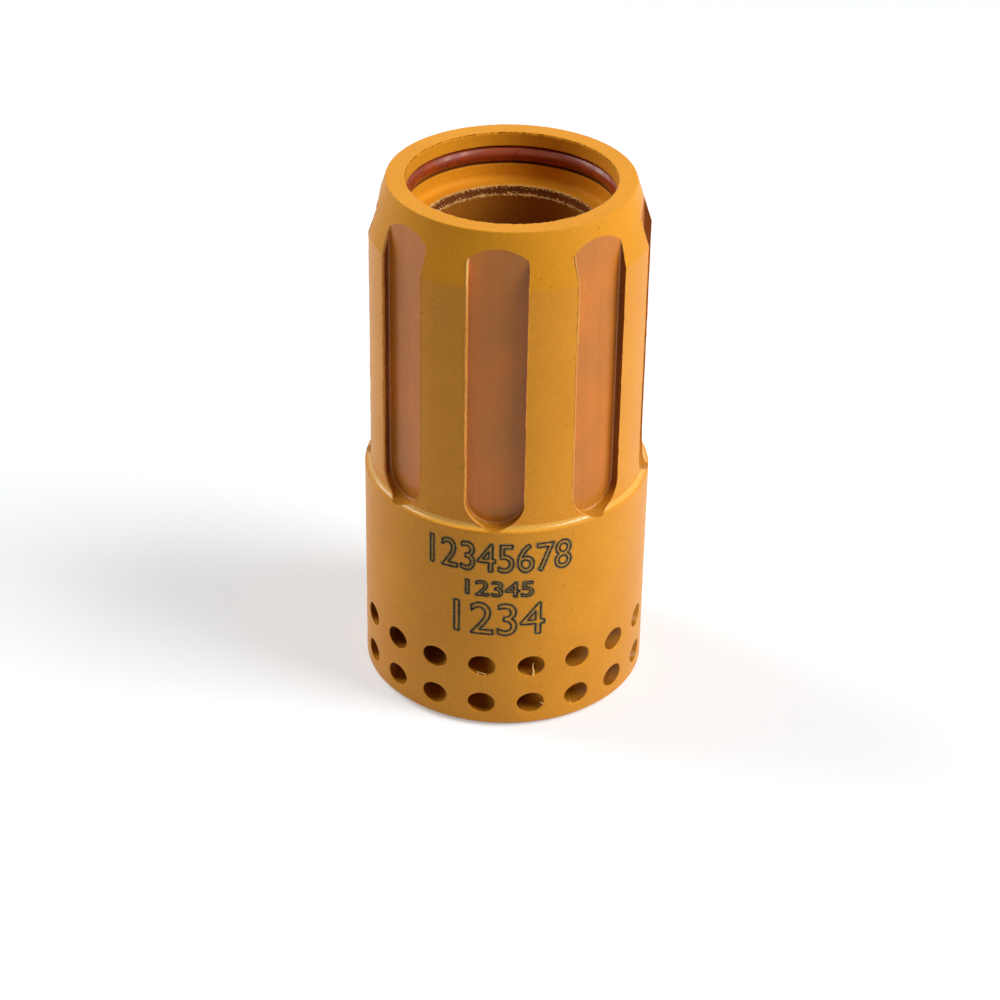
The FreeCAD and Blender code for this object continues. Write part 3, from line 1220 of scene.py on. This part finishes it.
@dataclass(frozen=True)
class PortBurrs:
    """Burr round every port's mouth, and the swarf that hangs in some.

    Attributes:
        ports: the ports.
        mouth: least and most radius of the burr.
        swelling: how that varies.
        sliver_steps: points along a sliver.
        sliver_fall: how far a sliver falls into its port, as a share of its length.
        sliver_taper: share of its root's radius that a sliver loses by its tip.
        slivers: the slivers.
    """

    ports: GasPorts
    mouth: Span = (0.003, 0.034)
    swelling: Unevenness = Unevenness(lumps=9, seed=300, sharpness=3.0)
    sliver_steps: int = 14
    sliver_fall: float = 0.25
    sliver_taper: float = 0.85
    slivers: tuple[Sliver, ...] = (
        Sliver(port=20, start=262.0, length=1.05, lean=0.12, curl=0.05, root=0.13),
        Sliver(port=19, start=255.0, length=0.34, lean=-0.62, curl=0.16, root=0.06),
        Sliver(port=19, start=285.0, length=0.30, lean=-0.16, curl=-0.10, root=0.05),
        Sliver(port=2, start=200.0, length=0.22, lean=-0.20, curl=0.04, root=0.06),
        Sliver(port=3, start=300.0, length=0.26, lean=0.10, curl=0.05, root=0.06),
    )

    def draw(self, draft: MeshDraft) -> None:
        """Add the burrs and the swarf to a draft.

        Args:
            draft: the draft.
        """
        least, most = self.mouth
        wall = self.ports.sizes.skirt - most / 2
        for number, (azimuth, height) in enumerate(self.ports.mouths()):
            path = self.ports.ring(azimuth, height, self.ports.radius + self.ports.mouth_break, wall)
            radii = least + (most - least) * self.swelling.draw(len(path), number)
            draft.add_bead(path, radii, Surface.SWARF_AND_GLINT, closed=True)
        for sliver in self.slivers:
            self.add_sliver(draft, sliver)

    def add_sliver(self, draft: MeshDraft, sliver: Sliver) -> None:
        """Add one sliver of swarf, which tapers from its root to its tip.

        Args:
            draft: the draft.
            sliver: the sliver.
        """
        ports = self.ports
        azimuth, height = ports.mouths()[sliver.port]
        mouth = ports.ring(azimuth, height, ports.radius, ports.sizes.skirt - ports.mouth_break)
        root = mouth[round(sliver.start / FULL_TURN_DEGREES * len(mouth))]
        across, inward = direction(azimuth + QUARTER_TURN_DEGREES), -direction(azimuth)
        share = np.linspace(0.0, 1.0, self.sliver_steps)[:, None]
        sway = sliver.lean * share + sliver.curl * np.sin(FULL_TURN * share)
        fall = self.sliver_fall * sliver.length * share
        path = root + sliver.length * share * UP + sway * across + fall * inward
        radii = sliver.root * (1.0 - self.sliver_taper * share[:, 0])
        draft.add_bead(path, radii, Surface.SWARF_AND_GLINT, closed=False)


@dataclass(frozen=True)
class BoreBurrs:
    """Torn edges above and below the lip of the electrode bore, with crumbs over them.

    Attributes:
        sizes: sizes of the ring.
        bead: least and most radius of a torn edge.
        tearing: how that varies.
        lifting: how a torn edge strays up and down.
        lift_middle: value of the straying that leaves the edge where it is.
        steps: points along a torn edge.
        sides: sides of a torn edge.
        crumbs: number of crumbs.
        crumb: least and most reach of a crumb from its middle.
        crumb_seed: start of the crumbs' random draws.
        crumb_rarity: power that makes large crumbs rare.
        crumb_core: share of its reach that a crumb has towards every side.
        spread: how far the crumbs lie from their edge.
        lower_share: share of the crumbs that lie on the lower edge.
        crowding: how the crumbs crowd round the bore.
        crowd_steps: steps round the bore in which they crowd.
    """

    sizes: RingSizes
    bead: Span = (0.004, 0.085)
    tearing: Unevenness = Unevenness(lumps=210, seed=501, sharpness=3.2)
    lifting: Unevenness = Unevenness(lumps=240, seed=508, sharpness=1.5)
    lift_middle: float = 0.4
    steps: int = 1500
    sides: int = 5
    crumbs: int = 7000
    crumb: Span = (0.020, 0.074)
    crumb_seed: int = 77
    crumb_rarity: float = 2.0
    crumb_core: float = 0.5
    spread: float = 0.25
    lower_share: float = 0.4
    crowding: Unevenness = Unevenness(lumps=60, seed=78, sharpness=1.5)
    crowd_steps: int = 360

    def edges(self) -> list[Span]:
        """Give the radius and height of the upper and of the lower edge."""
        sizes = self.sizes
        return [(sizes.bore + sizes.lip_step, sizes.ledge), (sizes.bore, sizes.ledge - sizes.lip_depth)]

    def draw(self, draft: MeshDraft) -> None:
        """Add the torn edges and the crumbs to a draft.

        Args:
            draft: the draft.
        """
        angles = np.arange(self.steps) * FULL_TURN / self.steps
        least, most = self.bead
        for number, (radius, height) in enumerate(self.edges()):
            radii = least + (most - least) * self.tearing.draw(self.steps, number)
            lift = self.lifting.draw(self.steps, number) - self.lift_middle
            path = np.stack([radius * np.cos(angles), radius * np.sin(angles),
                             height + most * lift], axis=1)
            draft.add_bead(path, radii, Surface.SWARF_AND_GLINT, closed=True, sides=self.sides)
        self.scatter_crumbs(draft)

    def scatter_crumbs(self, draft: MeshDraft) -> None:
        """Scatter crumbs over both torn edges, and over the slope between them.

        Args:
            draft: the draft.
        """
        rng = np.random.default_rng(self.crumb_seed)
        crowd = self.crowding.draw(self.crowd_steps)
        slope = self.sizes.lip_step / self.sizes.lip_depth
        upper_edge, lower_edge = self.edges()
        left = self.crumbs
        while left:
            turn, luck, offset, edge_luck = rng.random(4)
            if luck > crowd[int(turn * len(crowd))]:
                continue
            offset = self.spread * (2.0 * offset - 1.0) * rng.random()
            if edge_luck > self.lower_share:
                radius, height = upper_edge
                radius += offset if offset > 0 else slope * offset
                height += min(offset, 0.0)
            else:
                radius, height = lower_edge
                radius += slope * max(offset, 0.0)
                height += offset
            angle = turn * FULL_TURN
            middle = np.array([radius * math.cos(angle), radius * math.sin(angle), height])
            self.add_crumb(draft, middle, rng)
            left -= 1

    def add_crumb(self, draft: MeshDraft, middle: np.ndarray, rng: np.random.Generator) -> None:
        """Add one crumb, an uneven lump of eight faces.

        Args:
            draft: the draft.
            middle: middle of the crumb.
            rng: source of the random draws.
        """
        least, most = self.crumb
        reach = least + (most - least) * rng.random() ** self.crumb_rarity
        axes = np.concatenate([np.eye(3), -np.eye(3)])
        draft.points.append(middle + axes * reach * (self.crumb_core + rng.random((6, 1))))
        east, north, top, west, south, bottom = range(draft.count, draft.count + 6)
        draft.count += 6
        for first, second in ((east, north), (north, west), (west, south), (south, east)):
            draft.add_face([first, second, top], Surface.SWARF_AND_GLINT)
            draft.add_face([second, first, bottom], Surface.SWARF_AND_GLINT)


@dataclass(frozen=True)
class SwirlRing:
    """The ring's body: a turned section with flutes and ports cut in it, and its burrs.

    Attributes:
        sizes: sizes of the ring.
        flutes: the flutes.
        ports: the gas ports.
        segments: steps round the axis.
        chipping: how the chipped edges vary round the axis.
    """

    sizes: RingSizes
    flutes: Flutes
    ports: GasPorts
    segments: int = 512
    chipping: Unevenness = Unevenness(lumps=400, seed=5, sharpness=1.5)

    def outline(self) -> TurnedOutline:
        """Draw the turned section, from the foot's inner edge outward and round.

        Returns:
            The outline.
        """
        s = self.sizes
        edge = s.edge_break
        top, ledge = s.length, s.ledge
        groove_top = top - s.groove_below_rim
        groove_bottom = groove_top - s.groove_width
        groove = s.seat + s.groove_depth
        rim = s.barrel - s.taper_run
        turned, nose, burnished_highlight = Surface.TURNED, Surface.NOSE, Surface.BURNISHED_HIGHLIGHT
        # The groove and the bores take the dark finish that paints their shade
        bored_shade, lip = Surface.BORED_PAINTED_SHADE, Surface.LIP
        return TurnedOutline([
            Corner(s.nozzle + s.nozzle_chamfer, 0.0, edge, turned),
            Corner(s.skirt - s.foot_chamfer, 0.0, edge, turned),
            Corner(s.skirt, s.foot_chamfer, edge, turned),
            Corner(s.skirt, s.skirt_height, 0.09, turned, fray=0.01),
            Corner(s.barrel, s.skirt_height, s.shoulder_radius, turned, arc=burnished_highlight),
            Corner(s.barrel, s.taper_start, 0.05, nose),
            Corner(rim, top, 0.05, nose, fray=0.03),
            Corner(s.seat, top, edge, nose, fray=0.10, arc=lip),
            Corner(s.seat, groove_top, edge, bored_shade, fray=0.04),
            Corner(groove, groove_top, edge, bored_shade),
            Corner(groove, groove_bottom, edge, bored_shade),
            Corner(s.seat, groove_bottom, edge, Surface.SEAT, fray=0.04),
            Corner(s.seat, ledge, s.seat_corner_radius, Surface.SEAT),
            Corner(s.bore + s.lip_step, ledge, edge, lip, fray=0.08),
            Corner(s.bore, ledge - s.lip_depth, edge, bored_shade, fray=0.08),
            Corner(s.bore, s.nozzle_ledge, edge, bored_shade),
            Corner(s.nozzle, s.nozzle_ledge, edge, bored_shade),
            Corner(s.nozzle, s.nozzle_chamfer, edge, turned),
        ])

    def body(self, materials: list[bpy.types.Material]) -> bpy.types.Object:
        """Build the body and cut its flutes and ports.

        Args:
            materials: materials, in the order of the surfaces.

        Returns:
            The body.
        """
        draft = MeshDraft()
        self.outline().spin(draft, self.segments, self.chipping.draw(self.segments))
        body = draft.finish("ring_body", materials)
        for name, cuts in (("flute_cutter", self.flutes), ("port_cutter", self.ports)):
            blank = MeshDraft()
            cuts.draw(blank)
            carve(body, blank.finish(name, materials))
        shade(body, BODY_CREASE)
        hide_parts("swirl_ring_body")
        return body

    def build(self) -> list[bpy.types.Object]:
        """Build and dress every piece of the ring's plastic.

        Returns:
            The pieces.
        """
        materials = [PLASTIC[surface].build() for surface in Surface]
        pieces = [self.body(materials)]
        for name, burrs in (("flute_burrs", FluteBurrs(self.flutes)),
                            ("port_burrs", PortBurrs(self.ports)),
                            ("bore_burrs", BoreBurrs(self.sizes))):
            draft = MeshDraft()
            burrs.draw(draft)
            piece = draft.finish(name, materials)
            shade(piece, THIN_CREASE)
            pieces.append(piece)
        for piece in pieces:
            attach(piece, BODY)
        return pieces


@dataclass(frozen=True)
class SealRing:
    """Rubber seal ring in its groove, with the flash line that its mould left.

    Attributes:
        middle: radius of the cord's centre line.
        cord: radius of the cord.
        height: height of the centre line.
        flash: how far the flash line stands out.
        flash_reach: angle round the cord over which the flash line falls away, in radians.
        segments: steps round the axis.
        sides: sides of the cord.
    """

    middle: float
    cord: float
    height: float
    flash: float = 0.018
    flash_reach: float = 0.07
    segments: int = 320
    sides: int = 48

    @classmethod
    def from_frame(cls) -> "SealRing":
        """Take the ring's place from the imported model.

        Returns:
            The ring.
        """
        low, high = (corner * METRES_TO_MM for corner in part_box("seal_ring"))
        cord = (high.z - low.z) / 2
        return cls(middle=high.x - cord, cord=cord, height=(high.z + low.z) / 2)

    def build(self) -> bpy.types.Object:
        """Build and dress the seal ring.

        Returns:
            The piece.
        """
        angles = np.arange(self.sides) * FULL_TURN / self.sides
        ridge = self.flash * np.exp(-((np.abs(angles - math.pi)) / self.flash_reach)**2)
        spokes = self.cord - self.flash + ridge
        around = np.arange(self.segments) * FULL_TURN / self.segments
        across = self.middle + spokes * np.cos(angles)
        rows = np.stack([np.outer(np.cos(around), across), np.outer(np.sin(around), across),
                         np.tile(self.height + spokes * np.sin(angles), (self.segments, 1))], axis=2)
        draft = MeshDraft()
        draft.add_grid(rows, [0] * self.sides, around=True, along=True)
        seal = draft.finish("seal_cord", [RubberFinish().build()])
        shade(seal, THIN_CREASE)
        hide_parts("seal_ring")
        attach(seal, BODY)
        return seal


@dataclass(frozen=True)
class MarkLine:
    """One line of laser-marked digits.

    Attributes:
        digits: the digits.
        height: height of a digit.
        width: length of the line.
        centre: height of the line's middle on the skirt.
    """

    digits: str
    height: float
    width: float
    centre: float


@dataclass(frozen=True)
class MarkLayer:
    """One layer of the marks: a thin raised strip along every outline.

    Attributes:
        name: name of the piece.
        finish: its finish.
        half_width: half the strip's width.
        proud: how far it stands out.
        seed: start of the random draws of its width.
    """

    name: str
    finish: CharFinish
    half_width: float
    proud: float
    seed: int


@dataclass(frozen=True)
class LaserMarks:
    """Plain digits drawn by a laser on the skirt, each as a charred outline on a scorched fringe.

    Attributes:
        sizes: sizes of the ring.
        azimuth: azimuth of the marks' middle.
        lines: the lines.
        layers: the scorched plastic, the foamed fringe on it and the charred stroke on top.
        step: distance between points of an outline.
        least_points: least number of points of an outline.
        curve_steps: steps in each curve of a digit.
        narrow: least width of a strip, as a share of its usual width.
        widening: how much wider it gets at most, in the same share.
        section: place of each point across the strip, and whether it is out of or in the skirt.
    """

    sizes: RingSizes
    azimuth: float = 2.9
    lines: tuple[MarkLine, ...] = (
        MarkLine("12345678", 2.7, 12.0, 16.9),
        MarkLine("12345", 1.45, 5.6, 13.9),
        MarkLine("1234", 3.1, 7.6, 10.9),
    )
    layers: tuple[MarkLayer, ...] = (
        MarkLayer("mark_scorches",
                  CharFinish("scorched_rim", (0.44, 0.215, 0.040), (0.34, 0.180, 0.044)),
                  half_width=0.240, proud=0.003, seed=700),
        MarkLayer("mark_fringes",
                  CharFinish("foamed_fringe", (0.19, 0.135, 0.052), (0.42, 0.31, 0.16)),
                  half_width=0.165, proud=0.006, seed=800),
        MarkLayer("mark_strokes",
                  CharFinish("charred_stroke", (0.008, 0.008, 0.006), (0.035, 0.028, 0.015)),
                  half_width=0.104, proud=0.009, seed=900),
    )
    step: float = 0.07
    least_points: int = 8
    curve_steps: int = 8
    narrow: float = 0.5
    widening: float = 0.85
    section: tuple[Span, ...] = ((-1.0, -1.0), (-0.5, 1.0), (0.5, 1.0), (1.0, -1.0))

    def outlines(self, line: MarkLine) -> list[np.ndarray]:
        """Trace the outlines of a line's digits, laid flat and centred.

        Args:
            line: the line.

        Returns:
            Closed outlines, as points across and up.
        """
        text = bpy.data.curves.new("digits", "FONT")
        text.body = line.digits
        text.fill_mode = "NONE"
        text.resolution_u = self.curve_steps
        holder = bpy.data.objects.new("digits", text)
        mesh = bpy.data.meshes.new_from_object(holder)
        places = np.array([vertex.co[:2] for vertex in mesh.vertices])
        neighbours: dict[int, list[int]] = {}
        for edge in mesh.edges:
            first, second = edge.vertices
            neighbours.setdefault(first, []).append(second)
            neighbours.setdefault(second, []).append(first)
        low, high = places.min(axis=0), places.max(axis=0)
        places = (places - (low + high) / 2) / (high - low) * np.array([line.width, line.height])
        loops = []
        left = set(neighbours)
        while left:
            loop, here = [], min(left)
            while here is not None:
                loop.append(here)
                left.discard(here)
                here = next((point for point in neighbours[here] if point in left), None)
            loops.append(places[loop])
        bpy.data.objects.remove(holder)
        bpy.data.meshes.remove(mesh)
        bpy.data.curves.remove(text)
        return loops

    def resample(self, loop: np.ndarray) -> np.ndarray:
        """Space the points of a closed loop evenly.

        Args:
            loop: the points.

        Returns:
            The new points.
        """
        closed = np.vstack([loop, loop[:1]])
        lengths = np.concatenate([[0.0], np.cumsum(np.linalg.norm(np.diff(closed, axis=0), axis=1))])
        count = max(self.least_points, round(lengths[-1] / self.step))
        stations = np.linspace(0.0, lengths[-1], count, endpoint=False)
        return np.stack([np.interp(stations, lengths, closed[:, axis]) for axis in (0, 1)], axis=1)

    def wrap(self, flat: np.ndarray, centre: float, proud: float) -> np.ndarray:
        """Wrap flat points round the skirt.

        Args:
            flat: the points, across and up.
            centre: height of their middle.
            proud: how far they stand out of the skirt.

        Returns:
            The wrapped points.
        """
        turns = math.radians(self.azimuth) + flat[..., 0] / self.sizes.skirt
        radius = self.sizes.skirt + proud
        return np.stack([radius * np.sin(turns), -radius * np.cos(turns), centre + flat[..., 1]], axis=-1)

    def draw(self, layer: MarkLayer) -> bpy.types.Object:
        """Draw a strip of uneven width along every outline.

        Args:
            layer: the layer that the strips make.

        Returns:
            The piece.
        """
        draft = MeshDraft()
        for line in self.lines:
            for number, loop in enumerate(self.outlines(line)):
                path = self.resample(loop)
                ahead = tangents(path)
                aside = np.stack([-ahead[:, 1], ahead[:, 0]], axis=1)
                swells = Unevenness(len(path) // 2 + 2, layer.seed).draw(len(path), number)
                width = layer.half_width * (self.narrow + self.widening * swells)
                rows = [self.wrap(path + aside * width[:, None] * place, line.centre, lift * layer.proud)
                        for place, lift in self.section]
                draft.add_grid(np.stack(rows, axis=1), [0] * len(rows), around=True, along=True)
        piece = draft.finish(layer.name, [layer.finish.build()])
        shade(piece, THIN_CREASE)
        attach(piece, BODY)
        return piece

    def build(self) -> list[bpy.types.Object]:
        """Build every layer of the marks."""
        return [self.draw(layer) for layer in self.layers]


@dataclass(frozen=True)
class Lamp:
    """Soft box round the ring.

    Attributes:
        name: name of the lamp.
        azimuth: azimuth of the lamp.
        elevation: elevation of the lamp.
        power: power in watts.
        width: width of the box in metres.
        height: height of the box in metres.
        distance: distance from the ring in metres.
    """

    name: str
    azimuth: float
    elevation: float
    power: float
    width: float
    height: float
    distance: float = 0.45

    def hang(self, target: Vector) -> bpy.types.Object:
        """Hang the lamp so that it faces a point.

        Args:
            target: the point.

        Returns:
            The lamp.
        """
        light = bpy.data.lights.new(self.name, "AREA")
        light.energy = self.power
        light.shape = "RECTANGLE"
        light.size, light.size_y = self.width, self.height
        lamp = bpy.data.objects.new(self.name, light)
        towards = Vector(direction(self.azimuth, self.elevation))
        lamp.location = target + towards * self.distance
        lamp.rotation_euler = towards.to_track_quat("Z", "Y").to_euler()
        bpy.context.scene.collection.objects.link(lamp)
        return lamp


@dataclass(frozen=True)
class Studio:
    """Pale floor, soft light, white background and the camera.

    Attributes:
        azimuth: azimuth of the camera.
        elevation: elevation of the camera.
        roll: turn of the camera about its own axis.
        distance: distance of the camera from the point that it aims at, in mm.
        aim_across: how far that point lies to the camera's right of the bore's axis, in mm.
        aim_height: height of that point, in mm.
        lens: focal length in mm.
        sensor: width of the sensor in mm.
        clip: nearest and farthest distance that the camera sees, in metres.
        ambient: light that comes from all round.
        lamps: the lamps.
        paper: colour of the floor.
        floor_size: length of the floor in metres.
        floor_lift: light that the floor adds where it shows, so that it shows white.
    """

    azimuth: float = 5.0
    elevation: float = 31.79
    roll: float = 0.945
    distance: float = 237.504
    aim_across: float = -0.513
    aim_height: float = 15.109
    lens: float = 100.0
    sensor: float = 36.0
    clip: Span = (0.01, 10.0)
    ambient: float = 0.04
    lamps: tuple[Lamp, ...] = (
        Lamp("key_box", azimuth=78.0, elevation=41.0, power=2.3, width=0.24, height=0.38),
        Lamp("fill_box", azimuth=-108.0, elevation=38.0, power=1.38, width=0.24, height=0.38),
    )
    paper: Colour = (0.675, 0.70, 0.72)
    floor_size: float = 3.0
    floor_lift: float = 0.39

    def build(self) -> None:
        """Set up the whole studio."""
        middle = Vector((0.0, 0.0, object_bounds()[1].z / 2))
        for lamp in self.lamps:
            lamp.hang(middle)
        self.lay_floor()
        self.fill_world()
        self.set_camera()
        bpy.context.scene.view_settings.view_transform = "Standard"

    def lay_floor(self) -> None:
        """Lay the pale floor, which shows white to the camera except for the ring's shadow."""
        half = self.floor_size / 2
        mesh = bpy.data.meshes.new("floor")
        mesh.from_pydata([(-half, -half, 0), (half, -half, 0), (half, half, 0), (-half, half, 0)],
                         [], [(0, 1, 2, 3)])
        graph = Graph.of_material("pale_floor")
        paper = graph.add("BsdfDiffuse", {"Color": (*self.paper, 1.0)}).outputs["BSDF"]
        lift = graph.maths("MULTIPLY", self.shows_background(graph), self.floor_lift)
        white = graph.add("Emission", {"Color": WHITE, "Strength": lift}).outputs["Emission"]
        mesh.materials.append(graph.close(graph.add("AddShader", {0: paper, 1: white}).outputs[0]))
        floor = bpy.data.objects.new("floor", mesh)
        bpy.context.scene.collection.objects.link(floor)
        floor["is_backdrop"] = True

    @staticmethod
    def shows_background(graph: Graph) -> Socket:
        """Tell which rays should see a white background: camera, glossy and transmitted ones.

        Args:
            graph: the material or world that the rays meet.

        Returns:
            1 for those rays and 0 for others.
        """
        rays = graph.add("LightPath", {}).outputs
        seen = graph.maths("MAXIMUM", rays["Is Camera Ray"], rays["Is Glossy Ray"])
        return graph.maths("MAXIMUM", seen, rays["Is Transmission Ray"])

    def fill_world(self) -> None:
        """Fill the surroundings with even light, white where a ray sees the background."""
        world = bpy.data.worlds.new("studio")
        bpy.context.scene.world = world
        graph = Graph(world)
        seen = self.shows_background(graph)
        strength = graph.ramp(seen, (0.0, 1.0), (self.ambient, 1.0))
        background = graph.add("Background", {"Color": WHITE, "Strength": strength})
        graph.add("OutputWorld", {"Surface": background.outputs[0]})

    def set_camera(self) -> None:
        """Place the camera at the viewing angle of the photograph."""
        back = Vector(direction(self.azimuth, self.elevation))
        right = Vector(direction(self.azimuth + QUARTER_TURN_DEGREES))
        up = back.cross(right)
        turn = math.radians(self.roll)
        level = right * math.cos(turn) + up * math.sin(turn)
        upright = up * math.cos(turn) - right * math.sin(turn)
        place = (right * self.aim_across + Vector((0, 0, self.aim_height)) + back * self.distance) * MM
        data = bpy.data.cameras.new("camera")
        data.lens, data.sensor_width = self.lens, self.sensor
        data.clip_start, data.clip_end = self.clip
        camera = bpy.data.objects.new("camera", data)
        axes = Matrix((level, upright, back)).transposed()
        camera.matrix_world = Matrix.Translation(place) @ axes.to_4x4()
        bpy.context.scene.collection.objects.link(camera)
        bpy.context.scene.camera = camera


def main() -> None:
    """Build the ring, its seal and the studio, and log what each piece holds."""
    logging.basicConfig(level=logging.INFO, format="%(message)s")
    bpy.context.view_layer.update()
    sizes = RingSizes.from_frame()
    flutes, ports = Flutes(sizes), GasPorts(sizes)
    pieces = SwirlRing(sizes, flutes, ports).build()
    pieces.append(SealRing.from_frame().build())
    pieces += LaserMarks(sizes).build()
    for piece in pieces:
        report(piece)
    Studio().build()


if __name__ == "__main__":
    main()
